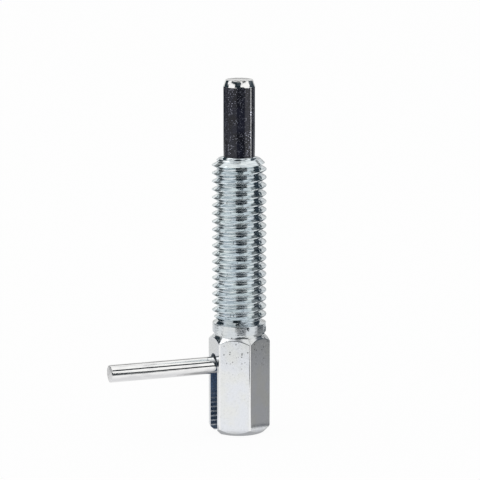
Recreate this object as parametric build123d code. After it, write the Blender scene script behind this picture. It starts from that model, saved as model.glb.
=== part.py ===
from build123d import *
import math
import os

# Hand-retractable indexing plunger with a side handle, in millimetres.
# The origin lies on the axis at the lower end of the thread, +Z points towards
# the plunger's nose, and the handle points along -X.

# --- threaded barrel ---------------------------------------------------------
THREAD_DIAMETER = 10.0        # major diameter, M10 coarse
THREAD_PITCH = 1.5
BARREL_LENGTH = 30.1          # origin to the top of the rolled nose lip
THREAD_DEPTH_PER_PITCH = 0.6134   # ISO metric external thread, major to minor radius
RELIEF_WIDTH = 0.8            # thread undercut above the collar
NOSE_RIM_WIDTH = 0.7          # rolled lip, mouth to chamfer
NOSE_LIP_RISE = 0.18          # how far the lip stands above the chamfer's rim
NOSE_LIP_CROWN = 0.144        # the same halfway across the lip
NOSE_CHAMFER_HEIGHT = 1.0

# --- collar and neck ---------------------------------------------------------
COLLAR_DIAMETER = 9.9
COLLAR_HEIGHT = 1.75
NECK_WIDTH = 0.4              # narrow groove between the collar and the hexagon
NECK_DEPTH = 0.27

# --- hexagon -----------------------------------------------------------------
HEX_ACROSS_FLATS = 10.0
HEX_CORNER_RADIUS = 0.35
HEX_LENGTH = 18.45
SHOULDER_ANGLE = 48.0         # cone at the hexagon's top, from the cross-section plane
REAR_FACE_INSET = 0.37        # rear face rim inside the flats
REAR_CHAMFER_ANGLE = 45.0

# --- slot for the handle -----------------------------------------------------
SLOT_END_GAP = 0.6            # between the handle at rest and the slot's round end
SLOT_SIDE_CLEARANCE = 0.225   # between the handle and each slot wall

# --- inside of the body ------------------------------------------------------
MOUTH_CLEARANCE = 0.075       # radial, nose in the rolled lip
RUNNING_CLEARANCE = 0.05      # radial, guide land in its bore and shank in its hole
LIP_THICKNESS = 0.85
CHAMBER_WEB = 3.6             # metal between the slot's end and the spring chamber
REAR_MOUTH_CHAMFER = 0.3

# --- plunger -----------------------------------------------------------------
NOSE_DIAMETER = 5.75
NOSE_EXTENSION = 14.1         # from the lip to the tip, spring relaxed
TIP_DIAMETER = 5.0
TIP_CHAMFER_LENGTH = 1.15
NOSE_RELIEF_DEPTH = 0.2       # grinding relief between the guide land and the nose
NOSE_RELIEF_RISE = 0.1        # the relief ends this far above the lip at rest
GUIDE_LAND_STEP = 0.375       # radial step from the nose to the guide land
GUIDE_LAND_LENGTH = 5.5
GUIDE_LAND_EDGE = 0.2
STOP_GAP = 0.05               # between the guide land and the lip at rest
SHANK_DIAMETER = 4.4
SHANK_TAIL = 3.0              # handle axis to the shank's rear end
SHANK_EDGE = 0.4

# --- handle ------------------------------------------------------------------
HANDLE_DIAMETER = 3.2
HANDLE_REACH = 25.2           # plunger axis to the outer end
HANDLE_HEIGHT = 12.8          # rear face to the handle's axis at rest
HANDLE_EDGE = 0.15
TENON_DIAMETER = 2.2
TENON_SETBACK = 0.4           # tenon end inside the shank's far side
SEAT_DEPTH = 0.3              # spot face on the shank under the handle's shoulder
SEAT_MARGIN = 0.1             # spot face radius beyond the handle's

# --- spring ------------------------------------------------------------------
WIRE_DIAMETER = 0.65
WIRE_SIDES = 6                # the round wire is drawn as a prism of this many sides
END_TURNS = 1.0               # closed turns at each end
END_TURN_GAP = 0.08           # between a closed turn and the next
ACTIVE_TURNS = 9.0
SPRING_SEAT_GAP = 0.02        # between the spring's top end and the guide land

# --- levels and sizes that follow from the values above ----------------------
thread_radius = THREAD_DIAMETER / 2
relief_radius = thread_radius - THREAD_DEPTH_PER_PITCH * THREAD_PITCH
nose_radius = NOSE_DIAMETER / 2
mouth_radius = nose_radius + MOUTH_CLEARANCE
nose_rim_radius = mouth_radius + NOSE_RIM_WIDTH
nose_rim_z = BARREL_LENGTH - NOSE_LIP_RISE

collar_radius = COLLAR_DIAMETER / 2
neck_radius = collar_radius - NECK_DEPTH
collar_top_z = -RELIEF_WIDTH
collar_bottom_z = collar_top_z - COLLAR_HEIGHT
hex_top_z = collar_bottom_z - NECK_WIDTH
rear_z = hex_top_z - HEX_LENGTH

hex_apothem = HEX_ACROSS_FLATS / 2
hex_corner_reach = hex_apothem / math.cos(math.pi / 6)
rear_face_radius = hex_apothem - REAR_FACE_INSET

nose_relief_radius = nose_radius - NOSE_RELIEF_DEPTH
nose_wall_z = BARREL_LENGTH + NOSE_RELIEF_RISE
guide_land_radius = nose_radius + GUIDE_LAND_STEP
chamber_radius = guide_land_radius + RUNNING_CLEARANCE
shank_radius = SHANK_DIAMETER / 2
rear_hole_radius = shank_radius + RUNNING_CLEARANCE

handle_radius = HANDLE_DIAMETER / 2
tenon_radius = TENON_DIAMETER / 2
handle_z = rear_z + HANDLE_HEIGHT
slot_width = HANDLE_DIAMETER + 2 * SLOT_SIDE_CLEARANCE
slot_top_z = handle_z + handle_radius + SLOT_END_GAP
chamber_floor_z = slot_top_z + CHAMBER_WEB
lip_inside_z = BARREL_LENGTH - LIP_THICKNESS

tip_z = BARREL_LENGTH + NOSE_EXTENSION
guide_land_top_z = lip_inside_z - STOP_GAP
guide_land_bottom_z = guide_land_top_z - GUIDE_LAND_LENGTH
shank_end_z = handle_z - SHANK_TAIL
handle_seat = shank_radius - SEAT_DEPTH

spring_radius = (shank_radius + chamber_radius) / 2
spring_top_z = guide_land_bottom_z - SPRING_SEAT_GAP


def turned(*outline):
    """Solid of revolution about Z from edges drawn in the XZ plane."""
    return revolve(make_face(Wire(list(outline))), axis=Axis.Z)


def path(*points):
    """Straight edges through (radius, height) points."""
    return Polyline(*[(radius, 0, z) for radius, z in points]).edges()


def barrel():
    """Rolled nose, chamfer, thread's major diameter, undercut, collar and neck."""
    rim = (nose_rim_radius, 0, nose_rim_z)
    crown = (mouth_radius + NOSE_RIM_WIDTH / 2, 0, nose_rim_z + NOSE_LIP_CROWN)
    mouth = (mouth_radius, 0, BARREL_LENGTH)
    lip = ThreePointArc(rim, crown, mouth)
    inner = path((mouth_radius, BARREL_LENGTH), (0, BARREL_LENGTH), (0, hex_top_z), (neck_radius, hex_top_z))
    outer = path(
        (neck_radius, hex_top_z),
        (neck_radius, collar_bottom_z),
        (collar_radius, collar_bottom_z),
        (collar_radius, collar_top_z),
        (relief_radius, collar_top_z),
        (relief_radius, 0),
        (thread_radius, 0),
        (thread_radius, nose_rim_z - NOSE_CHAMFER_HEIGHT),
        (nose_rim_radius, nose_rim_z),
    )
    return turned(*inner, *outer, lip)


def hexagon():
    """Hexagonal bar with a turned cone at its top and a chamfer at its rear."""
    outline = RegularPolygon(hex_apothem, 6, major_radius=False, rotation=30)
    outline = fillet(outline.vertices(), HEX_CORNER_RADIUS)
    bar = extrude(Pos(0, 0, rear_z) * outline, HEX_LENGTH)
    top_drop = (hex_corner_reach - neck_radius) * math.tan(math.radians(SHOULDER_ANGLE))
    rear_rise = (hex_corner_reach - rear_face_radius) * math.tan(math.radians(REAR_CHAMFER_ANGLE))
    envelope = turned(
        *path(
            (0, rear_z),
            (rear_face_radius, rear_z),
            (hex_corner_reach, rear_z + rear_rise),
            (hex_corner_reach, hex_top_z - top_drop),
            (neck_radius, hex_top_z),
            (0, hex_top_z),
            (0, rear_z),
        )
    )
    return bar & envelope


def body_bores():
    """Mouth in the lip, spring chamber and the shank's hole, as one cutter."""
    lip_slope = chamber_radius - mouth_radius
    return turned(
        *path(
            (0, rear_z),
            (rear_hole_radius + REAR_MOUTH_CHAMFER, rear_z),
            (rear_hole_radius, rear_z + REAR_MOUTH_CHAMFER),
            (rear_hole_radius, chamber_floor_z),
            (chamber_radius, chamber_floor_z),
            (chamber_radius, lip_inside_z - lip_slope),
            (mouth_radius, lip_inside_z),
            (mouth_radius, BARREL_LENGTH),
            (0, BARREL_LENGTH),
            (0, rear_z),
        )
    )


def handle_slot():
    """Slot from the rear face up to a round end, through the wall on the handle's side."""
    end_z = slot_top_z - slot_width / 2
    reach = hex_corner_reach
    round_end = Pos(-reach / 2, 0, end_z) * Rot(0, 90, 0) * Cylinder(slot_width / 2, reach)
    straight = Pos(-reach / 2, 0, (end_z + rear_z) / 2) * Box(reach, slot_width, end_z - rear_z)
    return round_end + straight


def threaded_body():
    return barrel() + hexagon() - body_bores() - handle_slot()


def plunger():
    """Turned plunger: chamfered nose, guide land, shank with a seat for the handle."""
    blank = turned(
        *path(
            (0, shank_end_z),
            (shank_radius - SHANK_EDGE, shank_end_z),
            (shank_radius, shank_end_z + SHANK_EDGE),
            (shank_radius, guide_land_bottom_z),
            (guide_land_radius - GUIDE_LAND_EDGE, guide_land_bottom_z),
            (guide_land_radius, guide_land_bottom_z + GUIDE_LAND_EDGE),
            (guide_land_radius, guide_land_top_z - GUIDE_LAND_STEP),
            (nose_relief_radius, guide_land_top_z + NOSE_RELIEF_DEPTH),
            (nose_relief_radius, nose_wall_z - NOSE_RELIEF_DEPTH),
            (nose_radius, nose_wall_z),
            (nose_radius, tip_z - TIP_CHAMFER_LENGTH),
            (TIP_DIAMETER / 2, tip_z),
            (0, tip_z),
            (0, shank_end_z),
        )
    )
    seat = along_handle(handle_radius + SEAT_MARGIN, handle_seat, shank_radius)
    cross_hole = along_handle(tenon_radius, TENON_SETBACK - shank_radius, shank_radius)
    return blank - seat - cross_hole


def along_handle(radius, start, end):
    """Cylinder on the handle's axis, between two distances from the plunger's axis."""
    return Pos(-(start + end) / 2, 0, handle_z) * Rot(0, 90, 0) * Cylinder(radius, end - start)


def pull_handle():
    """Ground rod with a tenon pressed into the shank."""
    rod = along_handle(handle_radius, handle_seat, HANDLE_REACH)
    outer_rim = rod.edges().filter_by(GeomType.CIRCLE).sort_by(Axis.X)[0]
    rod = chamfer(outer_rim, HANDLE_EDGE)
    return rod + along_handle(tenon_radius, TENON_SETBACK - shank_radius, handle_seat)


def return_spring():
    """Compression spring with closed, ground ends, round the shank."""
    height = spring_top_z - chamber_floor_z
    end_pitch = WIRE_DIAMETER + END_TURN_GAP
    end_rise = END_TURNS * end_pitch
    active_rise = height - 2 * end_rise
    stretches = (
        (end_pitch, end_rise, 0, 0),
        (active_rise / ACTIVE_TURNS, active_rise, end_rise, END_TURNS),
        (end_pitch, end_rise, end_rise + active_rise, END_TURNS + ACTIVE_TURNS),
    )
    coils = Part()
    for pitch, rise, start, turns_before in stretches:
        line = Helix(pitch, rise, spring_radius)
        across = Plane(line @ 0, x_dir=(1, 0, 0), z_dir=line % 0)
        turns = sweep(across * RegularPolygon(WIRE_DIAMETER / 2, WIRE_SIDES, major_radius=False), line)
        coils += Pos(0, 0, chamber_floor_z + start) * Rot(0, 0, 360 * turns_before) * turns
    ground = Pos(0, 0, chamber_floor_z + height / 2) * Cylinder(2 * spring_radius, height)
    return coils & ground


nodes = {
    "threaded_body": threaded_body(),
    "plunger": plunger(),
    "pull_handle": pull_handle(),
    "return_spring": return_spring(),
}

os.makedirs("parts", exist_ok=True)
for name, shape in nodes.items():
    export_step(shape, f"parts/{name}.step")
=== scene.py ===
import math

import bmesh
import bpy
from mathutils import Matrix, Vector

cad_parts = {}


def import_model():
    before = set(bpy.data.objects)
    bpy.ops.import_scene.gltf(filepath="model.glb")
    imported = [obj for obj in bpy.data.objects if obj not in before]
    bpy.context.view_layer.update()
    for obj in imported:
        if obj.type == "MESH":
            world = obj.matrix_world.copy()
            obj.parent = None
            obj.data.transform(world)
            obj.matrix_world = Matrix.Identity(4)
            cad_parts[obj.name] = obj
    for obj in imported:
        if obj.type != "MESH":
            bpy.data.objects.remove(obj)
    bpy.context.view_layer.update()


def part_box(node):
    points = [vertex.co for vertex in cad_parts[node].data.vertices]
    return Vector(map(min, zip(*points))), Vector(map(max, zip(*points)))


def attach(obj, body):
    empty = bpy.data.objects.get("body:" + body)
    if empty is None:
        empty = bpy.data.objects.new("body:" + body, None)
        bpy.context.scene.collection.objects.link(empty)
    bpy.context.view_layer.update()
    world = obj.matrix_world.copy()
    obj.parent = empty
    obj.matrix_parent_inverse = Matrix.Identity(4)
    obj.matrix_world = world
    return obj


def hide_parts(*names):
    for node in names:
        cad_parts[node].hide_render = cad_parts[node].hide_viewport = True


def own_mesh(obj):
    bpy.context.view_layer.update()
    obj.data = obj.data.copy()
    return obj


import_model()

# The visual model of the indexing plunger. Lengths are in millimetres unless a name says otherwise,
# and MM turns them into metres. The frame is the CAD's: the axis is Z, the handle points along -X.

MM = 0.001


def box_mm(node):
    low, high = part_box(node)
    return low / MM, high / MM


BODY_LOW, BODY_HIGH = box_mm("threaded_body")
PIN_LOW, PIN_HIGH = box_mm("plunger")
ROD_LOW, ROD_HIGH = box_mm("pull_handle")
COIL_LOW, COIL_HIGH = box_mm("return_spring")

# --- thread ------------------------------------------------------------------
PITCH = 1.5
THREAD_RADIUS = 5.0
DEPTH_PER_PITCH = 0.6134                # as on a standard outside thread
THREAD_DEPTH = DEPTH_PER_PITCH * PITCH
CREST_HALF = PITCH / 22                 # half of the crest's flat, before it is rounded
FLANK_SLOPE = math.sqrt(3)              # radius lost per millimetre along the axis
CREST_ROUND = 0.05                      # how far, in radius, crest and root blend into the flank
ROOT_ROUND = 0.12
THREAD_START = math.radians(159.5)      # azimuth where a crest passes z = 0
ROOT_RADIUS = THREAD_RADIUS - THREAD_DEPTH
RUN_OUT_TOP = 0.6                       # the thread fades out between these levels
RUN_OUT_LOW = -0.24
SPARE_TURNS = (2, 3)                    # below and above the barrel, cut off by the envelope
ENVELOPE_GAP = 0.02                     # keeps the envelope off the thread's own surfaces

# --- nose and spring chamber -------------------------------------------------
LIP_TOP = BODY_HIGH.z
LIP_RISE = 0.36                         # height of the rolled lip above the chamfer's rim
LIP_SLOPE = 0.2                         # width and height of the bevel round the lip
LIP_EDGE = 0.06                         # broken edge at the mouth
LIP_FOOT = 0.08                         # the same at the lip's foot, which is a little wider
LIP_LAND_RADIUS = 3.85                  # where the flat behind the lip meets the chamfer
NOSE_CHAMFER = 1.08                     # height of the chamfer below the rim
MOUTH_RADIUS = 2.92
LIP_THICKNESS = 0.85
LIP_CONE = 0.35                         # height of the cone from the lip to the chamber's wall
CHAMBER_RADIUS = 3.3
CHAMBER_FLOOR = COIL_LOW.z

# --- undercut, collar, neck and hexagon --------------------------------------
RELIEF_CONE = 0.56                      # height and width of the cone from undercut to collar
COLLAR_TOP = -0.8
COLLAR_RADIUS = 4.95
COLLAR_WIDTH = 1.69
COLLAR_BOTTOM = COLLAR_TOP - COLLAR_WIDTH
BARREL_OVERLAP = 0.1                    # how far the barrel reaches into the collar
NECK_DEPTH = 0.27
NECK_WIDTH = 0.59
NECK_RADIUS = COLLAR_RADIUS - NECK_DEPTH
HEX_TOP = COLLAR_BOTTOM - NECK_WIDTH
HEX_APOTHEM = BODY_HIGH.x
HEX_CORNER = 0.37                       # radius of the hexagon's rounded corners
SIXTH = math.radians(60)
# Faces further from the axis than this belong to a rounded corner.
CORNER_START = (HEX_APOTHEM - HEX_CORNER / 3) / math.cos(math.radians(30))
SHOULDER_SLOPE = math.tan(math.radians(45))
REAR_Z = BODY_LOW.z
REAR_INSET = 0.37
REAR_RADIUS = HEX_APOTHEM - REAR_INSET
REAR_SLOPE = 1.0
REAR_HOLE_RADIUS = 2.25
REAR_HOLE_CHAMFER = 0.3

# --- slot --------------------------------------------------------------------
ROD_RADIUS = (ROD_HIGH.z - ROD_LOW.z) / 2
ROD_Z = (ROD_HIGH.z + ROD_LOW.z) / 2
SLOT_CLEARANCE = 0.225
SLOT_END_GAP = 0.6
SLOT_HALF = ROD_RADIUS + SLOT_CLEARANCE
SLOT_TOP = ROD_Z + ROD_RADIUS + SLOT_END_GAP
SLOT_EDGE = 0.07
SLOT_EDGE_STEPS = 2
SLOT_EDGE_ANGLE = math.radians(50)      # edges sharper than this are broken
CUTTER_BEYOND = 1                       # how far the cutter passes the faces it cuts

# --- plunger and handle ------------------------------------------------------
TIP_Z = PIN_HIGH.z
SHANK_LOW = PIN_LOW.z
SHANK_RADIUS = 2.2
SHANK_EDGE = 0.4
LAND_RADIUS = PIN_HIGH.x
LAND_GAP = 0.02                         # between the guide land and the spring
LAND_LENGTH = 5.5
LAND_LOW = COIL_HIGH.z + LAND_GAP
LAND_TOP = LAND_LOW + LAND_LENGTH
NOSE_RADIUS = 2.875
NOSE_RELIEF = 0.2
NOSE_WALL_RISE = -0.15                  # from the lip's top to where the full radius begins
TIP_RADIUS = 2.5
TIP_CHAMFER = 1.15
SPOT_FACE_DEPTH = 0.3
ROD_SEAT = SHANK_RADIUS - SPOT_FACE_DEPTH  # where the handle's shoulder sits
SEAT_CLEARANCE = 0.1
SEAT_REACH = 4
TENON_RADIUS = 1.1
TENON_END = -1.8                        # past the axis, on the side away from the handle
TENON_HOLE_REACH = 3
ROD_END = -ROD_LOW.x
ROD_EDGE = 0.16

# --- spring ------------------------------------------------------------------
WIRE_RADIUS = 0.325
COIL_RADIUS = (SHANK_RADIUS + CHAMBER_RADIUS) / 2
END_GAP = 0.08                          # between the coils of a closed end
END_PITCH = 2 * WIRE_RADIUS + END_GAP
ACTIVE_TURNS = 9

# --- colours, linear ---------------------------------------------------------
FLAT_BLUE = (0.79, 0.81, 0.85)
FLAT_WARM = (0.8, 0.81, 0.8)
TURNED_BLUE = (0.66, 0.7, 0.73)
TURNED_WARM = (0.71, 0.73, 0.72)
THREAD_BLUE = (0.77, 0.83, 0.865)
THREAD_WARM = (0.79, 0.845, 0.85)
ZINC_DULL = (0.56, 0.59, 0.6)
ZINC_STREAK = (0.33, 0.38, 0.42)
ZINC_PIT = (0.16, 0.16, 0.16)
# The slot's colours are painted light and shade: shade on its walls, deeper shade between the cutter's
# ridges near the open end, a lighter arch near its top, and highlights on the ridges.
SLOT_SHADE_BLUE = (0.27, 0.38, 0.56)
SLOT_SHADE_DARK = (0.2, 0.3, 0.47)
SLOT_GROOVE_SHADE = (0.05, 0.07, 0.1)
SLOT_ARCH_LIGHT = (0.55, 0.6, 0.66)
SLOT_RIDGE_HIGHLIGHT = (0.92, 0.96, 1.0)
# Painted highlight: the hexagon's rounded corners are brighter than its flats.
CORNER_HIGHLIGHT = (0.9, 0.9, 0.9)
CORNER_HIGHLIGHT_SOFT = (0.84, 0.85, 0.86)
OXIDE_BLACK = (0.007, 0.007, 0.011)
OXIDE_GREY = (0.012, 0.013, 0.024)
OXIDE_GRAIN = (0.07, 0.072, 0.09)
OXIDE_SPARK = (0.6, 0.62, 0.74)
END_BRIGHT = (0.8, 0.8, 0.8)
END_DULL = (0.66, 0.66, 0.67)
STEEL_BRIGHT = (0.93, 0.93, 0.92)
# The handle's real scuffs and its painted shade underneath share this duller colour.
STEEL_SCUFF_AND_SHADE = (0.69, 0.69, 0.7)
WIRE_DARK = (0.32, 0.31, 0.3)
WIRE_LIGHT = (0.5, 0.49, 0.47)
FLOOR_WHITE = (0.92, 0.92, 0.92, 1)

# --- finishes ----------------------------------------------------------------
NOISE_RANGE = (0.3, 0.7)                # where most of a noise's values lie
WORN_FADE = 6                           # height over which the flats' wear sets in
WORN_DULL = 0.3
WORN_LEAST_PITS = 0.1                   # share of the pits left where nothing is worn
PIT_DARKNESS = 0.75
PIT_CORE = 0.5                          # share of a pit's radius that has its full strength
PIT_DEPTH = 1.5                         # beside the tool's lines, whose depth is 1
GRAIN_DEPTH = 0.35
CUTTER_STEP = 0.86                      # feed of the slot's cutter
MARK_SHADING_FROM = 9.0                        # painted highlights on the cutter's marks, and painted shade between them, set in this far above the rear face
MARK_SHADING_FULL = 2.5                        # and are at full strength from here down
# Strength of the painted shade near the slot's open end.
GROOVE_SHADE_SHARE = 0.7
SLOT_METALLIC = 0.6
SLOT_LINE_DEPTH = 0.5
ARCH_LIGHT_FROM = -0.5                        # the slot's painted lighter arch, measured from the handle's axis
ARCH_LIGHT_FULL = 1.5
OXIDE_ROUGHNESS = 0.15
LEAST_GRAINS = 0.15                     # share of the bright grains left outside the patches
SPECKLE_STRENGTH = 0.8
GRAIN_RISE = 0.6
OXIDE_LEFT = 0.55                       # strength of the oxide left on the ground tip
UNDER_SHADE_FROM = 0.2                        # the handle's painted shade underneath, from its axis
UNDER_SHADE_FULL = -0.9
UNDER_SHADE_SHARE = 0.85
SCUFF_DULL = 0.6
END_RINGS = 2.5                         # wave texture's scale: about eight rings in a millimetre

# --- camera ------------------------------------------------------------------
CAMERA_AZIMUTH = math.radians(-20.49)
CAMERA_DISTANCE = 496.4                 # horizontal, from the axis
CAMERA_HEIGHT = 109.4
CAMERA_PITCH = math.radians(10.82)
CAMERA_YAW = 0.0003                     # the axis lies a little left of the picture's middle
CAMERA_LENS = 206.52
SENSOR = 36.0
CLIP_START_M = 0.01

# --- studio ------------------------------------------------------------------
FLOOR_HALF_M = 3.0
FLOOR_GAP = 0.02                        # between the floor and the rear face
FLOOR_ROUGHNESS = 0.9
FLOOR_SEEN = 0.94                       # share of plain white that the eye sees in the floor
WORLD_LIGHT = 0.85
WORLD_SEEN = 0.15                       # added where the backdrop is seen, to make 1
CARD_DISTANCE = 600
CARD_CENTRE = Vector((0, 0, 10))
CARD_LIFT = 0.05                        # of the floor's cards above the rear face
DARK_BLUE = 0.36                        # how blue the darkest cards are
DARK_LEVEL = 0.2                        # cards this light or lighter aren't blue
LEFT_GREEN = 0.06                       # how green the cards on the left are

# Studio cards seen in reflections: name, azimuths, elevations or floor distances, level.
# Azimuths are in degrees to the right of the camera, as seen from the object.
STANDING_CARDS = [
    ("front_low", (-18, 36), (-3, 24), 0.02),
    ("front_upper", (-18, 11), (24, 34), 0.02),
    ("front_edge", (36, 42.5), (-3, 7), 0.01),
    ("front_left", (-34, -18), (8, 34), 0.03),
    ("front_left_high", (-75, -18), (34, 46), 0.03),
    ("front_middle", (-18, 17), (34, 44), 0.05),
    ("front_high", (-28, 10), (44, 66), 0.35),
    ("front_top", (-48, 25), (66, 76), 0.45),
    ("front_beam", (31, 70), (39, 55), 0.02),
    ("right_low", (82, 142), (-3, 20), 0.055),
    ("right_high", (88, 130), (20, 42), 0.12),
    ("left_low", (-140, -86), (-3, 22), 0.04),
    ("left_high", (-150, -104), (22, 44), 0.04),
    ("rear_left", (-165, -150), (22, 40), 0.33),
    ("rear_left_low", (-174, -140), (-3, 13), 0.78),
    ("rear_right", (130, 150), (34, 48), 0.3),
    ("rear_right_high", (138, 158), (48, 62), 0.5),
    ("rear_right_low", (140, 174), (-3, 13), 0.55),
    ("rear_right_middle", (144, 174), (13, 34), 0.78),
    ("rear_low", (174, 186), (-3, 14), 0.58),
    ("rear_middle", (174, 190), (20, 42), 0.3),
    ("rear_top", (162, 198), (60, 82), 0.52),
]
FLOOR_CARDS = [
    ("floor_front", (-17, 36), (106, 590), 0.03),
    ("floor_front_foot", (-8, 26), (46, 70), 0.04),
    ("floor_front_near", (-8, 32), (72, 104), 0.58),
    ("floor_edge", (36, 42.5), (100, 590), 0.01),
    # Painted shadow: a grey sheet where the object's shadow lies on the floor to its right, seen in
    # reflections.
    ("floor_right_shadow", (70, 130), (11, 95), 0.34),
    ("floor_right_back", (130, 168), (11, 95), 0.12),
    ("floor_right_foot", (64, 168), (9, 11), 0.18),
    ("floor_right", (82, 124), (95, 590), 0.05),
    ("floor_left", (-128, -98), (105, 590), 0.25),
    ("floor_left_near", (-165, -115), (9, 58), 0.85),
    ("floor_left_middle", (-165, -115), (58, 100), 0.82),
    # Painted shadow: grey rings where the object's contact shadow lies on the floor, seen in reflections.
    ("floor_contact_shadow", (-180, 180), (0.2, 6.3), 0.45),
    ("floor_contact_shadow_middle", (-180, 180), (6.3, 7.5), 0.62),
    ("floor_contact_shadow_edge", (-180, 180), (7.5, 9), 0.8),
    ("floor_far_left", (-98, -17), (330, 590), 0.3),
    ("floor_back_right", (128, 178), (330, 590), 0.08),
    ("floor_back_left", (-178, -128), (330, 590), 0.05),
]

# --- mesh fineness -----------------------------------------------------------
CREST_ROWS = (0.0, 0.03, 0.055, 0.085, 0.13)            # distances along the axis from a crest
ROOT_ROWS = (0.35, 0.5, 0.56, 0.61, 0.66, 0.75)
THREAD_STEPS = 128
ROUND_STEPS = 128
HOLE_STEPS = 64
ROD_STEPS = 96
FLAT_STEPS = 14
CORNER_STEPS = 6
ARC_STEPS = 24                          # round the slot's upper end
WIRE_STEPS = 40                         # along each turn of the spring
WIRE_SIDES = 10
CARD_STEPS = 12
EASE = 0.1                              # rounding of the turned edges
EASE_MOST = 0.45                        # share of a short edge that the rounding may take
WELD_DISTANCE_M = 1e-7
SHARP_ANGLE = math.radians(38)
FLAT_FACE_WEIGHT = 80                   # how strongly large faces keep their own normal

# --- telling faces apart -----------------------------------------------------
SKIN = 0.02                             # a face's centre this near a wall lies on it
STEEP = 0.5                             # a normal with less than this along an axis runs across it
FACING = 0.9                            # and one with more than this looks along it


# =============================================================================
# mesh helpers
# =============================================================================


def new_mesh(name, vertices, faces):
    """Mesh from vertices in metres."""
    mesh = bpy.data.meshes.new(name)
    mesh.from_pydata(vertices, [], faces)
    return mesh


def add_object(name, data):
    obj = bpy.data.objects.new(name, data)
    bpy.context.scene.collection.objects.link(obj)
    return obj


def edit(obj, change):
    bm = bmesh.new()
    bm.from_mesh(obj.data)
    change(bm)
    bm.to_mesh(obj.data)
    bm.free()
    obj.data.update()


def turn_outward(obj):
    edit(obj, lambda bm: bmesh.ops.recalc_face_normals(bm, faces=bm.faces))


def make_object(name, vertices, faces):
    """Object from vertices in millimetres, its doubles welded and its faces turned outward."""
    mesh = new_mesh(name, [Vector(v) * MM for v in vertices], faces)
    mesh.update()
    obj = add_object(name, mesh)
    edit(obj, lambda bm: bmesh.ops.remove_doubles(bm, verts=bm.verts, dist=WELD_DISTANCE_M))
    turn_outward(obj)
    return obj


def circle_angles(steps):
    return [2 * math.pi * i / steps for i in range(steps)]


def eased(points, ease, closed=False):
    """The same line through (radius, height) points, with its corners cut by two short steps."""
    count = len(points)
    result = []
    for i, (r, z) in enumerate(points):
        if not closed and i in (0, count - 1):
            result.append((r, z))
            continue
        here = Vector((r, z))
        before = Vector(points[i - 1]) - here
        after = Vector(points[(i + 1) % count]) - here
        first = here + before.normalized() * min(ease, before.length * EASE_MOST)
        last = here + after.normalized() * min(ease, after.length * EASE_MOST)
        middle = (first + last) / 4 + here / 2
        result += [tuple(first), tuple(middle), tuple(last)]
    return result


def ring_stack(name, profile_at, angles, closed=False):
    """A surface round Z whose (radius, height) profile may change with the angle."""
    profiles = [profile_at(angle) for angle in angles]
    rows = len(profiles[0])
    vertices = []
    for angle, profile in zip(angles, profiles):
        vertices += [(r * math.cos(angle), r * math.sin(angle), z) for r, z in profile]
    faces = []
    for i in range(len(angles)):
        here = i * rows
        following = (i + 1) % len(angles) * rows
        for j in range(rows if closed else rows - 1):
            k = (j + 1) % rows
            faces.append((here + j, following + j, following + k, here + k))
    return make_object(name, vertices, faces)


def lathe(name, profile, closed=False, steps=ROUND_STEPS):
    return ring_stack(name, lambda angle: profile, circle_angles(steps), closed)


def apply_modifiers(obj):
    depsgraph = bpy.context.evaluated_depsgraph_get()
    mesh = bpy.data.meshes.new_from_object(obj.evaluated_get(depsgraph))
    obj.modifiers.clear()
    obj.data = mesh


def cut(obj, cutter, operation):
    """Applies a boolean and deletes the cutter."""
    modifier = obj.modifiers.new("cut", "BOOLEAN")
    modifier.operation = operation
    modifier.solver = "EXACT"
    modifier.object = cutter
    apply_modifiers(obj)
    bpy.data.objects.remove(cutter)


def smooth(obj):
    """Smooth shading in which large faces keep their own normal."""
    obj.data.shade_smooth()
    obj.data.set_sharp_from_angle(angle=SHARP_ANGLE)
    modifier = obj.modifiers.new("weighted", "WEIGHTED_NORMAL")
    modifier.keep_sharp = True
    modifier.weight = FLAT_FACE_WEIGHT
    apply_modifiers(obj)


def lay_along_x(obj):
    """Turns a mesh made round Z so that its Z runs along -X at the handle's level."""
    for vertex in obj.data.vertices:
        x, y, z = vertex.co
        vertex.co = (-z, y, x + ROD_Z * MM)
    turn_outward(obj)


def join(name, pieces):
    """One object from several."""
    bm = bmesh.new()
    for piece in pieces:
        bm.from_mesh(piece.data)
    mesh = bpy.data.meshes.new(name)
    bm.to_mesh(mesh)
    bm.free()
    for piece in pieces:
        bpy.data.objects.remove(piece)
    return add_object(name, mesh)


# =============================================================================
# threaded body
# =============================================================================


def soft_min(a, b, width):
    """The smaller of two values, with a smooth change from one to the other."""
    blend = max(width - abs(a - b), 0) / width
    return min(a, b) - blend * blend * width / 4


def thread_profile():
    """(height, radius) through one pitch, from the middle of a root to just before the next."""
    distances = CREST_ROWS + ROOT_ROWS
    levels = [-d for d in reversed(distances)] + list(distances[1:-1])
    profile = []
    for level in levels:
        flank = THREAD_RADIUS - FLANK_SLOPE * (abs(level) - CREST_HALF)
        radius = soft_min(flank, THREAD_RADIUS, CREST_ROUND)
        radius = -soft_min(-radius, -ROOT_RADIUS, ROOT_ROUND)
        profile.append((level, radius))
    return profile


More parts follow.
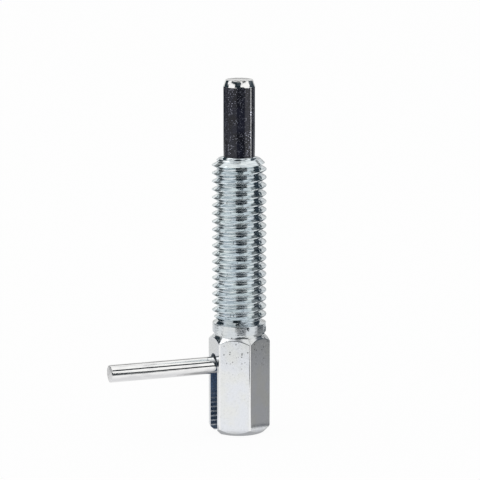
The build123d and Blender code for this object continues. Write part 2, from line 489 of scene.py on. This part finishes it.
def thread_solid():
    """Solid helical thread, right-handed, longer than the barrel at both ends."""
    pitch_rows = thread_profile()
    below, above = SPARE_TURNS
    turns = range(-below, math.ceil(LIP_TOP / PITCH) + above)
    rows = [(level + PITCH * turn, radius) for turn in turns for level, radius in pitch_rows]
    vertices = []
    for i in range(THREAD_STEPS):
        share = i / THREAD_STEPS
        angle = THREAD_START + 2 * math.pi * share
        for level, radius in rows:
            z = level + PITCH * share
            vertices.append((radius * math.cos(angle), radius * math.sin(angle), z))
    count = len(rows)
    shift = len(pitch_rows)
    faces = []
    for i in range(THREAD_STEPS - 1):
        for j in range(i * count, (i + 1) * count - 1):
            faces.append((j, j + count, j + count + 1, j + 1))
    # The last column meets the first one a pitch higher up.
    last = (THREAD_STEPS - 1) * count
    for j in range(count - 1 - shift):
        faces.append((last + j, j + shift, j + shift + 1, last + j + 1))
    # What is left open at each end is closed by a fan to a point on the axis.
    bottom = [i * count for i in range(THREAD_STEPS)] + list(range(shift, -1, -1))
    top = [i * count + count - 1 for i in range(THREAD_STEPS)]
    top += [last + j for j in range(count - 2, count - 2 - shift, -1)]
    for loop, height in ((bottom, rows[0][0] - PITCH), (top, rows[-1][0] + 2 * PITCH)):
        centre = len(vertices)
        vertices.append((0, 0, height))
        faces += [(loop[i], loop[(i + 1) % len(loop)], centre) for i in range(len(loop))]
    return make_object("thread", vertices, faces)


def barrel():
    """Threaded barrel down to just inside the collar, with the rolled lip and the spring chamber."""
    rim_z = LIP_TOP - LIP_RISE
    overlap = COLLAR_TOP - BARREL_OVERLAP
    bulge = THREAD_RADIUS + ENVELOPE_GAP
    outline = [
        (CHAMBER_RADIUS, overlap),
        (ROOT_RADIUS + ENVELOPE_GAP, overlap),
        (ROOT_RADIUS + ENVELOPE_GAP, RUN_OUT_LOW),
        (bulge, RUN_OUT_TOP),
        (bulge, rim_z - NOSE_CHAMFER),
        (LIP_LAND_RADIUS, rim_z),
        (MOUTH_RADIUS + LIP_FOOT + LIP_SLOPE, rim_z),
        (MOUTH_RADIUS + LIP_EDGE + LIP_SLOPE, LIP_TOP - LIP_SLOPE),
        (MOUTH_RADIUS + LIP_EDGE, LIP_TOP),
        (MOUTH_RADIUS, LIP_TOP - LIP_EDGE),
        (MOUTH_RADIUS, LIP_TOP - LIP_THICKNESS),
        (CHAMBER_RADIUS, LIP_TOP - LIP_THICKNESS - LIP_CONE),
    ]
    body = thread_solid()
    cut(body, lathe("envelope", outline, closed=True), "INTERSECT")
    return body


def corner_centre():
    """Distance from the axis to the centre of a corner's rounding."""
    return (HEX_APOTHEM - HEX_CORNER) / math.cos(SIXTH / 2)


def corner_span():
    """Half the angle that a rounded corner takes up, as seen from the axis."""
    along = corner_centre() + HEX_CORNER * math.cos(SIXTH / 2)
    return math.atan2(HEX_CORNER / 2, along)


def hex_angles():
    """Directions round the hexagon, close together at its rounded corners."""
    reach = corner_span()
    flat = SIXTH - 2 * reach
    angles = []
    for side in range(6):
        corner = math.radians(60 * side + 30)
        angles += [corner - reach + 2 * reach * k / CORNER_STEPS for k in range(CORNER_STEPS)]
        angles += [corner + reach + flat * k / FLAT_STEPS for k in range(FLAT_STEPS)]
    return angles


def hex_radius(angle):
    """Distance from the axis to the hexagon's outline, its flats facing +X and -X."""
    from_corner = abs((angle % SIXTH) - SIXTH / 2)
    if from_corner >= corner_span():
        return HEX_APOTHEM / math.cos(SIXTH / 2 - from_corner)
    centre = corner_centre()
    across = centre * math.sin(from_corner)
    return centre * math.cos(from_corner) + math.sqrt(HEX_CORNER**2 - across**2)


def hexagon_profile(angle):
    outline = hex_radius(angle)
    top = HEX_TOP - (outline - NECK_RADIUS) * SHOULDER_SLOPE
    bottom = REAR_Z + (outline - REAR_RADIUS) * REAR_SLOPE
    line = [
        (REAR_HOLE_RADIUS, CHAMBER_FLOOR),
        (CHAMBER_RADIUS, CHAMBER_FLOOR),
        (CHAMBER_RADIUS, COLLAR_TOP + RELIEF_CONE),
        (ROOT_RADIUS, COLLAR_TOP + RELIEF_CONE),
        (ROOT_RADIUS + RELIEF_CONE, COLLAR_TOP),
        (COLLAR_RADIUS, COLLAR_TOP),
        (COLLAR_RADIUS, COLLAR_BOTTOM),
        (NECK_RADIUS, COLLAR_BOTTOM),
        (NECK_RADIUS, HEX_TOP),
        (outline, top),
        (outline, bottom),
        (REAR_RADIUS, REAR_Z),
        (REAR_HOLE_RADIUS + REAR_HOLE_CHAMFER, REAR_Z),
        (REAR_HOLE_RADIUS, REAR_Z + REAR_HOLE_CHAMFER),
    ]
    return eased(line, EASE, closed=True)


def slot_cutter():
    """Prism along X with a round upper end."""
    centre = SLOT_TOP - SLOT_HALF
    low = REAR_Z - CUTTER_BEYOND
    arc = [math.pi * k / ARC_STEPS for k in range(ARC_STEPS + 1)]
    outline = [(SLOT_HALF, low)]
    outline += [(SLOT_HALF * math.cos(a), centre + SLOT_HALF * math.sin(a)) for a in arc]
    outline.append((-SLOT_HALF, low))
    count = len(outline)
    vertices = [(x, y, z) for x in (-HEX_APOTHEM - CUTTER_BEYOND, 0) for y, z in outline]
    faces = [(k, (k + 1) % count, count + (k + 1) % count, count + k) for k in range(count)]
    faces += [tuple(range(count)), tuple(range(count, 2 * count))]
    return make_object("slot", vertices, faces)


def hexagon():
    """Collar, neck and hexagon, with the slot milled through one flat."""
    body = ring_stack("hexagon", hexagon_profile, hex_angles(), closed=True)
    cut(body, slot_cutter(), "DIFFERENCE")
    edge = body.modifiers.new("edge", "BEVEL")
    edge.width = SLOT_EDGE * MM
    edge.segments = SLOT_EDGE_STEPS
    edge.limit_method = "ANGLE"
    edge.angle_limit = SLOT_EDGE_ANGLE
    apply_modifiers(body)
    return body


# =============================================================================
# plunger, handle and spring
# =============================================================================


def drill(obj, name, radius, start, reach):
    """Takes a round hole that runs along -X from start to reach out of obj."""
    drilled = [(0, start), (radius, start), (radius, reach), (0, reach)]
    cutter = lathe(name, drilled, steps=HOLE_STEPS)
    lay_along_x(cutter)
    cut(obj, cutter, "DIFFERENCE")


def plunger():
    """The pin, with the spot face and the cross hole for the handle."""
    relief = NOSE_RADIUS - NOSE_RELIEF
    line = [
        (0, SHANK_LOW),
        (SHANK_RADIUS - SHANK_EDGE, SHANK_LOW),
        (SHANK_RADIUS, SHANK_LOW + SHANK_EDGE),
        (SHANK_RADIUS, LAND_LOW),
        (LAND_RADIUS, LAND_LOW),
        (LAND_RADIUS, LAND_TOP - (LAND_RADIUS - NOSE_RADIUS)),
        (relief, LAND_TOP + NOSE_RELIEF),
        (relief, LIP_TOP + NOSE_WALL_RISE - NOSE_RELIEF),
        (NOSE_RADIUS, LIP_TOP + NOSE_WALL_RISE),
        (NOSE_RADIUS, TIP_Z - TIP_CHAMFER),
        (TIP_RADIUS, TIP_Z),
        (0, TIP_Z),
    ]
    pin = lathe("locking_pin", eased(line, EASE))
    drill(pin, "seat", ROD_RADIUS + SEAT_CLEARANCE, ROD_SEAT, SEAT_REACH)
    drill(pin, "hole", TENON_RADIUS, TENON_END, TENON_HOLE_REACH)
    return pin


def handle():
    """The side rod, with the tenon that is pressed into the shank."""
    line = [
        (0, TENON_END),
        (TENON_RADIUS, TENON_END),
        (TENON_RADIUS, ROD_SEAT),
        (ROD_RADIUS, ROD_SEAT),
        (ROD_RADIUS, ROD_END),
        (0, ROD_END),
    ]
    rod = lathe("side_handle", eased(line, ROD_EDGE), steps=ROD_STEPS)
    lay_along_x(rod)
    return rod


def spring():
    """Round wire with closed, ground ends."""
    low, high = COIL_LOW.z, COIL_HIGH.z
    active = high - low - 2 * END_PITCH
    turns = ACTIVE_TURNS + 2
    steps = WIRE_STEPS * turns
    vertices = []
    for i in range(steps + 1):
        turn = turns * i / steps
        rise = END_PITCH * min(turn, 1)
        rise += active / ACTIVE_TURNS * min(max(turn - 1, 0), ACTIVE_TURNS)
        rise += END_PITCH * max(turn - 1 - ACTIVE_TURNS, 0)
        angle = 2 * math.pi * turn
        for around in circle_angles(WIRE_SIDES):
            radius = COIL_RADIUS + WIRE_RADIUS * math.cos(around)
            height = low + rise + WIRE_RADIUS * math.sin(around)
            height = min(max(height, low), high)
            vertices.append((radius * math.cos(angle), radius * math.sin(angle), height))
    faces = []
    for here in range(0, steps * WIRE_SIDES, WIRE_SIDES):
        following = here + WIRE_SIDES
        for k in range(WIRE_SIDES):
            m = (k + 1) % WIRE_SIDES
            faces.append((here + k, here + m, following + m, following + k))
    faces.append(tuple(range(WIRE_SIDES)))
    faces.append(tuple(steps * WIRE_SIDES + k for k in range(WIRE_SIDES)))
    return make_object("coil_spring", vertices, faces)


# =============================================================================
# shader nodes
# =============================================================================


def plug(tree, socket, value):
    if isinstance(value, bpy.types.NodeSocket):
        tree.links.new(value, socket)
    else:
        socket.default_value = value


def node(tree, kind, settings=None, **values):
    """Adds a shader node; each value is a number, a colour or the socket that feeds the input."""
    made = tree.nodes.new("ShaderNode" + kind)
    for key, value in (settings or {}).items():
        setattr(made, key, value)
    for key, value in values.items():
        plug(tree, made.inputs[key.replace("_", " ")], value)
    return made


def calculate(tree, operation, *values):
    made = node(tree, "Math", {"operation": operation})
    for socket, value in zip(made.inputs, values):
        plug(tree, socket, value)
    return made.outputs[0]


def times(tree, value, share):
    return calculate(tree, "MULTIPLY", value, share)


def plus(tree, value, more):
    return calculate(tree, "ADD", value, more)


def blend_colour(tree, share, first, second):
    made = node(tree, "Mix", {"data_type": "RGBA"})
    plug(tree, made.inputs["Factor"], share)
    for side, colour in (("A", first), ("B", second)):
        is_socket = isinstance(colour, bpy.types.NodeSocket)
        plug(tree, made.inputs[side], colour if is_socket else (*colour, 1))
    return made.outputs["Result"]


def step_up(tree, value, low, high):
    """0 at low, 1 at high, smooth between them; low may be the larger of the two."""
    smooth_step = {"interpolation_type": "SMOOTHSTEP"}
    return node(tree, "MapRange", smooth_step, Value=value, From_Min=low, From_Max=high).outputs["Result"]


def place(tree, stretch=(1, 1, 1)):
    """Object coordinates in millimetres, multiplied along each axis by stretch."""
    where = node(tree, "TexCoord").outputs["Object"]
    scale = [share / MM for share in stretch]
    return node(tree, "Mapping", Vector=where, Scale=scale).outputs["Vector"]


def level_mm(tree):
    """Height of the shaded point."""
    return node(tree, "SeparateXYZ", Vector=place(tree)).outputs["Z"]


def noise(tree, per_mm, stretch=(1, 1, 1), detail=2.0):
    """Cloudy value round 0.5; per_mm is how many lumps there are in a millimetre."""
    made = node(tree, "TexNoise", Vector=place(tree, stretch), Scale=per_mm, Detail=detail)
    return made.outputs["Fac"]


def pits(tree, per_mm, size, kept):
    """1 inside small round spots; kept is the share of cells that hold one."""
    cells = node(tree, "TexVoronoi", Vector=place(tree), Scale=per_mm)
    near = step_up(tree, cells.outputs["Distance"], low=size, high=size * PIT_CORE)
    lot = node(tree, "SeparateColor", Color=cells.outputs["Color"]).outputs[0]
    return times(tree, near, calculate(tree, "LESS_THAN", lot, kept))


def new_metal(name, roughness):
    """Metal of an even roughness, which the export still reads where nodes then vary it."""
    material = bpy.data.materials.new(name)
    material.use_nodes = True
    tree = material.node_tree
    shader = tree.nodes["Principled BSDF"]
    shader.inputs["Metallic"].default_value = 1
    shader.inputs["Roughness"].default_value = roughness
    return material, tree, shader


def coloured(tree, shader, colour):
    tree.links.new(colour, shader.inputs["Base Color"])


def bumpy(tree, shader, height, depth_mm):
    bump = node(tree, "Bump", Height=height, Strength=1.0, Distance=depth_mm * MM)
    tree.links.new(bump.outputs["Normal"], shader.inputs["Normal"])


def varied_roughness(tree, shader, value, low, high):
    least, most = NOISE_RANGE
    made = node(tree, "MapRange", Value=value, From_Min=least, From_Max=most, To_Min=low, To_Max=high)
    tree.links.new(made.outputs["Result"], shader.inputs["Roughness"])


# =============================================================================
# materials
# =============================================================================


def zinc(name, tints, lines, line_depth, roughness, pit_share, dull_share, streaks=0.0, worn_above=None):
    """Blue-white zinc plate: cloudy tint, tool or drawing lines, and small dark pits.

    lines says how close the lines are along each axis, and line_depth is in mm.
    Above the level worn_above (mm) the plate is duller and more pitted."""
    material, tree, shader = new_metal(name, roughness[0])
    cloud = noise(tree, per_mm=0.32, detail=4.0)
    tint = blend_colour(tree, step_up(tree, cloud, low=0.36, high=0.64), *tints)
    mottle = noise(tree, per_mm=2.4, detail=5.0)
    dull = times(tree, step_up(tree, mottle, low=0.5, high=0.75), dull_share)
    spots = pits(tree, per_mm=2.1, size=0.34, kept=pit_share)
    if worn_above is not None:
        worn = step_up(tree, level_mm(tree), worn_above, worn_above + WORN_FADE)
        dull = plus(tree, dull, times(tree, worn, WORN_DULL))
        spots = times(tree, spots, plus(tree, worn, WORN_LEAST_PITS))
    tint = blend_colour(tree, dull, tint, ZINC_DULL)
    marks = noise(tree, per_mm=1.0, stretch=lines, detail=3.0)
    if streaks:
        streak = times(tree, step_up(tree, marks, low=0.48, high=0.62), streaks)
        tint = blend_colour(tree, streak, tint, ZINC_STREAK)
    coloured(tree, shader, blend_colour(tree, times(tree, spots, PIT_DARKNESS), tint, ZINC_PIT))
    grain = noise(tree, per_mm=7.0, detail=3.0)
    height = plus(tree, marks, times(tree, grain, GRAIN_DEPTH))
    height = calculate(tree, "SUBTRACT", height, times(tree, spots, PIT_DEPTH))
    bumpy(tree, shader, height, line_depth)
    varied_roughness(tree, shader, mottle, *roughness)
    return material


def slot_zinc():
    """Plate inside the milled slot, darker blue as painted shade, with painted highlights on the cutter's
    cross marks near the open end.
    """
    material, tree, shader = new_metal("milled_slot", roughness=0.2)
    shader.inputs["Metallic"].default_value = SLOT_METALLIC
    level = level_mm(tree)
    wave = calculate(tree, "SINE", times(tree, level, 2 * math.pi / CUTTER_STEP))
    ridge = step_up(tree, wave, low=0.35, high=0.9)
    # Painted light near the open end: highlights on the cutter's ridges, shade between them.
    end_shading = step_up(tree, level, REAR_Z + MARK_SHADING_FROM, REAR_Z + MARK_SHADING_FULL)
    uneven = step_up(tree, noise(tree, per_mm=1.1, stretch=(1, 1, 0.2)), low=0.2, high=0.5)
    share = times(tree, times(tree, ridge, end_shading), uneven)
    cloud = noise(tree, per_mm=1.5, detail=4.0)
    # Painted shade: the slot's walls are darker blue, darkest between the ridges near the open end.
    wall_shade = blend_colour(tree, step_up(tree, cloud, low=0.35, high=0.7), SLOT_SHADE_BLUE, SLOT_SHADE_DARK)
    wall_shade = blend_colour(tree, times(tree, end_shading, GROOVE_SHADE_SHARE), wall_shade, SLOT_GROOVE_SHADE)
    # Painted light: a paler arch above the handle's axis, up to the slot's round end.
    arch_light = step_up(tree, level, ROD_Z + ARCH_LIGHT_FROM, ROD_Z + ARCH_LIGHT_FULL)
    wall_shade = blend_colour(tree, arch_light, wall_shade, SLOT_ARCH_LIGHT)
    coloured(tree, shader, blend_colour(tree, share, wall_shade, SLOT_RIDGE_HIGHLIGHT))
    lines = noise(tree, per_mm=1.0, stretch=(2, 2, 8))
    bumpy(tree, shader, plus(tree, ridge, times(tree, lines, SLOT_LINE_DEPTH)), depth_mm=0.02)
    varied_roughness(tree, shader, cloud, low=0.15, high=0.3)
    return material


def black_oxide():
    """Ground and blackened steel under oil: fine rings round the pin and a scatter of bright grains."""
    material, tree, shader = new_metal("black_oxide", OXIDE_ROUGHNESS)
    shader.inputs["Metallic"].default_value = 0
    cloud = noise(tree, per_mm=0.5, detail=4.0)
    tint = blend_colour(tree, step_up(tree, cloud, low=0.35, high=0.65), OXIDE_BLACK, OXIDE_GREY)
    clusters = noise(tree, per_mm=0.7, stretch=(1, 1, 0.6), detail=3.0)
    patches = step_up(tree, clusters, low=0.42, high=0.6)
    grains = pits(tree, per_mm=4.6, size=0.4, kept=0.42)
    grains = times(tree, grains, plus(tree, patches, LEAST_GRAINS))
    speckle = times(tree, step_up(tree, noise(tree, per_mm=9.0), low=0.55, high=0.72), patches)
    tint = blend_colour(tree, times(tree, speckle, SPECKLE_STRENGTH), tint, OXIDE_GRAIN)
    coloured(tree, shader, blend_colour(tree, grains, tint, OXIDE_SPARK))
    tree.links.new(grains, shader.inputs["Metallic"])
    rings = noise(tree, per_mm=1.0, stretch=(0.4, 0.4, 14), detail=3.0)
    bumpy(tree, shader, plus(tree, rings, times(tree, grains, GRAIN_RISE)), depth_mm=0.003)
    return material


def ground_steel():
    """Bright chamfer and end of the pin, ground after blackening, with a little oxide left."""
    material, tree, shader = new_metal("ground_steel", roughness=0.08)
    left_over = step_up(tree, noise(tree, per_mm=2.6, detail=4.0), low=0.6, high=0.7)
    share = times(tree, left_over, OXIDE_LEFT)
    coloured(tree, shader, blend_colour(tree, share, STEEL_BRIGHT, OXIDE_GRAIN))
    rings = noise(tree, per_mm=1.0, stretch=(1, 1, 12), detail=3.0)
    bumpy(tree, shader, rings, depth_mm=0.004)
    varied_roughness(tree, shader, noise(tree, per_mm=3.0), low=0.05, high=0.16)
    return material


def polished_steel():
    """Handle: drawn and polished, with light scuffs along it, and painted shade on its underside."""
    material, tree, shader = new_metal("polished_steel", roughness=0.05)
    cloud = noise(tree, per_mm=0.7, stretch=(0.5, 1, 1), detail=5.0)
    # Painted shade: darker below the handle's axis.
    under = step_up(tree, level_mm(tree), ROD_Z + UNDER_SHADE_FROM, ROD_Z + UNDER_SHADE_FULL)
    worn = times(tree, step_up(tree, cloud, low=0.45, high=0.7), SCUFF_DULL)
    # worn holds the real scuffs and, from here on, the painted shade underneath too.
    worn = plus(tree, worn, times(tree, under, UNDER_SHADE_SHARE))
    share = calculate(tree, "MINIMUM", worn, 1.0)
    coloured(tree, shader, blend_colour(tree, share, STEEL_BRIGHT, STEEL_SCUFF_AND_SHADE))
    scuffs = noise(tree, per_mm=1.0, stretch=(0.5, 7, 7), detail=4.0)
    bumpy(tree, shader, scuffs, depth_mm=0.003)
    varied_roughness(tree, shader, cloud, low=0.03, high=0.1)
    return material


def turned_end():
    """Cut end of the handle: fine rings and a duller face."""
    material, tree, shader = new_metal("turned_end", roughness=0.3)
    cloud = noise(tree, per_mm=1.2, detail=4.0)
    coloured(tree, shader, blend_colour(tree, cloud, END_BRIGHT, END_DULL))
    on_axis = node(tree, "Mapping", Vector=place(tree), Location=(0, 0, -ROD_Z), Scale=(0, 1, 1))
    round_x = {"wave_type": "RINGS", "rings_direction": "X"}
    rings = node(tree, "TexWave", round_x, Vector=on_axis.outputs["Vector"], Scale=END_RINGS)
    bumpy(tree, shader, rings.outputs["Fac"], depth_mm=0.004)
    varied_roughness(tree, shader, cloud, low=0.25, high=0.4)
    return material


def spring_steel():
    """Oiled music wire with a fine grain."""
    material, tree, shader = new_metal("spring_wire", roughness=0.3)
    cloud = noise(tree, per_mm=1.5, detail=3.0)
    coloured(tree, shader, blend_colour(tree, cloud, WIRE_DARK, WIRE_LIGHT))
    bumpy(tree, shader, noise(tree, per_mm=8.0), depth_mm=0.003)
    varied_roughness(tree, shader, cloud, low=0.22, high=0.38)
    return material


def body_finishes():
    """The body's finishes, in the order that body_region counts them."""
    turned = zinc(
        "zinc_turned", (TURNED_BLUE, TURNED_WARM), lines=(0.9, 0.9, 7), line_depth=0.014,
        roughness=(0.08, 0.16), pit_share=0.12, dull_share=0.5, streaks=0.15,
    )
    drawn = zinc(
        "zinc_drawn", (FLAT_BLUE, FLAT_WARM), lines=(4, 4, 0.25), line_depth=0.005,
        roughness=(0.12, 0.2), pit_share=0.3, dull_share=0.15, worn_above=-11,
    )
    threads = zinc(
        "zinc_thread", (THREAD_BLUE, THREAD_WARM), lines=(0.45, 0.45, 12), line_depth=0.006,
        roughness=(0.07, 0.13), pit_share=0.1, dull_share=0.3, streaks=0.75,
    )
    # Painted highlight: the rounded corners get a brighter colour than the flats.
    corners = zinc(
        "zinc_corner", (CORNER_HIGHLIGHT, CORNER_HIGHLIGHT_SOFT), lines=(4, 4, 0.25), line_depth=0.003,
        roughness=(0.1, 0.16), pit_share=0.1, dull_share=0.1,
    )
    return [turned, drawn, slot_zinc(), threads, corners]


# =============================================================================
# assembly
# =============================================================================


def paint(obj, materials, choose):
    """Gives each face the material whose place in the list is choose(centre in mm, normal)."""
    for material in materials:
        obj.data.materials.append(material)
    for face in obj.data.polygons:
        face.material_index = choose(face.center / MM, face.normal)


def body_region(centre, normal):
    turned, flat, slot, thread, corner = range(5)
    radius = centre.xy.length
    slot_side = centre.x < 0 and abs(centre.y) < SLOT_HALF + SKIN and abs(normal.x) < STEEP
    if slot_side and REAR_Z + EASE < centre.z < SLOT_TOP and radius > CHAMBER_RADIUS + EASE / 2:
        return slot
    # The rear bore gets the slot's material, with its painted shade.
    if radius < CHAMBER_RADIUS + SKIN and centre.z < CHAMBER_FLOOR:
        return slot
    if centre.z < HEX_TOP and radius > NECK_RADIUS:
        return corner if radius > CORNER_START and abs(normal.z) < STEEP else flat
    return thread if centre.z > RUN_OUT_LOW else turned


def pin_region(centre, normal):
    """The tip's chamfer and end are bright; all below them is black."""
    black, bright = range(2)
    return black if centre.z < TIP_Z - TIP_CHAMFER - EASE else bright


def handle_region(centre, normal):
    side, end = range(2)
    return end if normal.x < -FACING else side


def dress(obj, body, node_name):
    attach(obj, body)
    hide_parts(node_name)


def build_object():
    body = join("body_shell", [barrel(), hexagon()])
    smooth(body)
    paint(body, body_finishes(), body_region)
    dress(body, "body", "threaded_body")
    pin = plunger()
    smooth(pin)
    paint(pin, [black_oxide(), ground_steel()], pin_region)
    dress(pin, "plunger", "plunger")
    rod = handle()
    smooth(rod)
    paint(rod, [polished_steel(), turned_end()], handle_region)
    dress(rod, "plunger", "pull_handle")
    coil = spring()
    smooth(coil)
    paint(coil, [spring_steel()], lambda centre, normal: 0)
    dress(coil, "body", "return_spring")
    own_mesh(coil)


# =============================================================================
# studio
# =============================================================================


def seen_directly(tree, share):
    """share for camera, glossy and transmission rays, and 0 for the others."""
    path = node(tree, "LightPath").outputs
    seen = calculate(tree, "MAXIMUM", path["Is Camera Ray"], path["Is Glossy Ray"])
    seen = calculate(tree, "MAXIMUM", seen, path["Is Transmission Ray"])
    return times(tree, seen, share)


def floor():
    """Plain pale floor; what sees it directly sees it almost plain white, with a soft shadow."""
    half, z = FLOOR_HALF_M, (REAR_Z - FLOOR_GAP) * MM
    corners = [(-half, -half, z), (half, -half, z), (half, half, z), (-half, half, z)]
    obj = add_object("floor", new_mesh("floor", corners, [(0, 1, 2, 3)]))
    material = bpy.data.materials.new("floor_white")
    material.use_nodes = True
    tree = material.node_tree
    shader = tree.nodes["Principled BSDF"]
    shader.inputs["Base Color"].default_value = FLOOR_WHITE
    shader.inputs["Roughness"].default_value = FLOOR_ROUGHNESS
    shader.inputs["Specular IOR Level"].default_value = 0
    mix = node(tree, "MixShader", Fac=seen_directly(tree, FLOOR_SEEN))
    tree.links.new(shader.outputs[0], mix.inputs[1])
    tree.links.new(node(tree, "Emission").outputs[0], mix.inputs[2])
    tree.links.new(mix.outputs[0], tree.nodes["Material Output"].inputs["Surface"])
    obj.data.materials.append(material)


def world():
    setting = bpy.data.worlds.new("studio")
    bpy.context.scene.world = setting
    setting.use_nodes = True
    tree = setting.node_tree
    background = tree.nodes["Background"]
    background.inputs["Color"].default_value = (1, 1, 1, 1)
    strength = plus(tree, seen_directly(tree, WORLD_SEEN), WORLD_LIGHT)
    tree.links.new(strength, background.inputs["Strength"])


def direction(azimuth, elevation):
    """Unit vector; azimuth is in degrees to the right of the camera as seen from the object."""
    towards_camera = math.atan2(-math.cos(CAMERA_AZIMUTH), math.sin(CAMERA_AZIMUTH))
    angle = towards_camera + math.radians(azimuth)
    rise = math.radians(elevation)
    level = math.cos(rise)
    return Vector((math.cos(angle) * level, math.sin(angle) * level, math.sin(rise)))


def shade(level, azimuth=0):
    """Grey of the studio's dark side: bluer where it is darker, a little green on the left."""
    cool = DARK_BLUE * max(0, 1 - level / DARK_LEVEL)
    green = LEFT_GREEN * max(0, -math.sin(math.radians(azimuth)))
    return (level * (1 - cool - green), level, level * (1 + cool - green))


def grid_surface(name, point_at, first, second):
    """Mesh through point_at(a, b), with a and b running over two ranges."""
    vertices = []
    for i in range(CARD_STEPS + 1):
        a = first[0] + (first[1] - first[0]) * i / CARD_STEPS
        for j in range(CARD_STEPS + 1):
            b = second[0] + (second[1] - second[0]) * j / CARD_STEPS
            vertices.append(point_at(a, b))
    row = CARD_STEPS + 1
    corners = [i * row + j for i in range(CARD_STEPS) for j in range(CARD_STEPS)]
    faces = [(k, k + row, k + row + 1, k + 1) for k in corners]
    return add_object(name, new_mesh(name, vertices, faces))


def reflected_only(obj, colour):
    """Makes obj a studio card that only reflections see."""
    material = bpy.data.materials.new(obj.name)
    material.use_nodes = True
    tree = material.node_tree
    tree.nodes.remove(tree.nodes["Principled BSDF"])
    glow = node(tree, "Emission", Color=(*colour, 1))
    tree.links.new(glow.outputs[0], tree.nodes["Material Output"].inputs["Surface"])
    obj.data.materials.append(material)
    for ray in ("camera", "diffuse", "shadow", "transmission", "volume_scatter"):
        setattr(obj, "visible_" + ray, False)


def standing_card(name, azimuths, elevations, level):
    """Part of a sphere round the object."""
    obj = grid_surface(
        name, lambda a, e: (direction(a, e) * CARD_DISTANCE + CARD_CENTRE) * MM, azimuths, elevations
    )
    reflected_only(obj, shade(level, sum(azimuths) / 2))


def floor_card(name, azimuths, distances, level):
    """Part of a ring that lies on the floor."""
    height = Vector((0, 0, REAR_Z + CARD_LIFT))
    obj = grid_surface(name, lambda a, d: (direction(a, 0) * d + height) * MM, azimuths, distances)
    reflected_only(obj, shade(level))


def lamp(name, azimuth, elevation, distance, size, level, lights_only=None):
    """A soft box aimed at the object, in metres; level is its brightness, 1 being white."""
    data = bpy.data.lights.new(name, "AREA")
    data.shape = "RECTANGLE"
    data.size, data.size_y = size
    data.energy = level * math.pi * size[0] * size[1]
    obj = add_object(name, data)
    obj.location = direction(azimuth, elevation) * distance
    obj.rotation_euler = (-obj.location).to_track_quat("-Z", "Y").to_euler()
    if lights_only:
        flagged = bpy.data.collections.new(name + "_target")
        flagged.objects.link(lights_only)
        obj.light_linking.receiver_collection = flagged


def camera():
    data = bpy.data.cameras.new("camera")
    data.lens = CAMERA_LENS
    data.sensor_width = SENSOR
    data.clip_start = CLIP_START_M
    obj = add_object("camera", data)
    back = Vector((math.sin(CAMERA_AZIMUTH), -math.cos(CAMERA_AZIMUTH), 0))
    obj.location = (back * CAMERA_DISTANCE + Vector((0, 0, CAMERA_HEIGHT))) * MM
    heading = CAMERA_AZIMUTH - CAMERA_YAW
    look = Vector((-math.sin(heading), math.cos(heading), 0)) * math.cos(CAMERA_PITCH)
    look.z = -math.sin(CAMERA_PITCH)
    obj.rotation_euler = look.to_track_quat("-Z", "Y").to_euler()
    bpy.context.scene.camera = obj


def studio():
    floor()
    world()
    for card in STANDING_CARDS:
        standing_card(*card)
    for card in FLOOR_CARDS:
        floor_card(*card)
    lamp("left_box", azimuth=-94, elevation=54, distance=0.8, size=(0.4, 0.28), level=0.8)
    pin = bpy.data.objects["locking_pin"]
    lamp("pin_strip", azimuth=95, elevation=-1, distance=0.3, size=(0.05, 0.05), level=9, lights_only=pin)
    camera()
    bpy.context.scene.view_settings.view_transform = "Standard"


build_object()
studio()
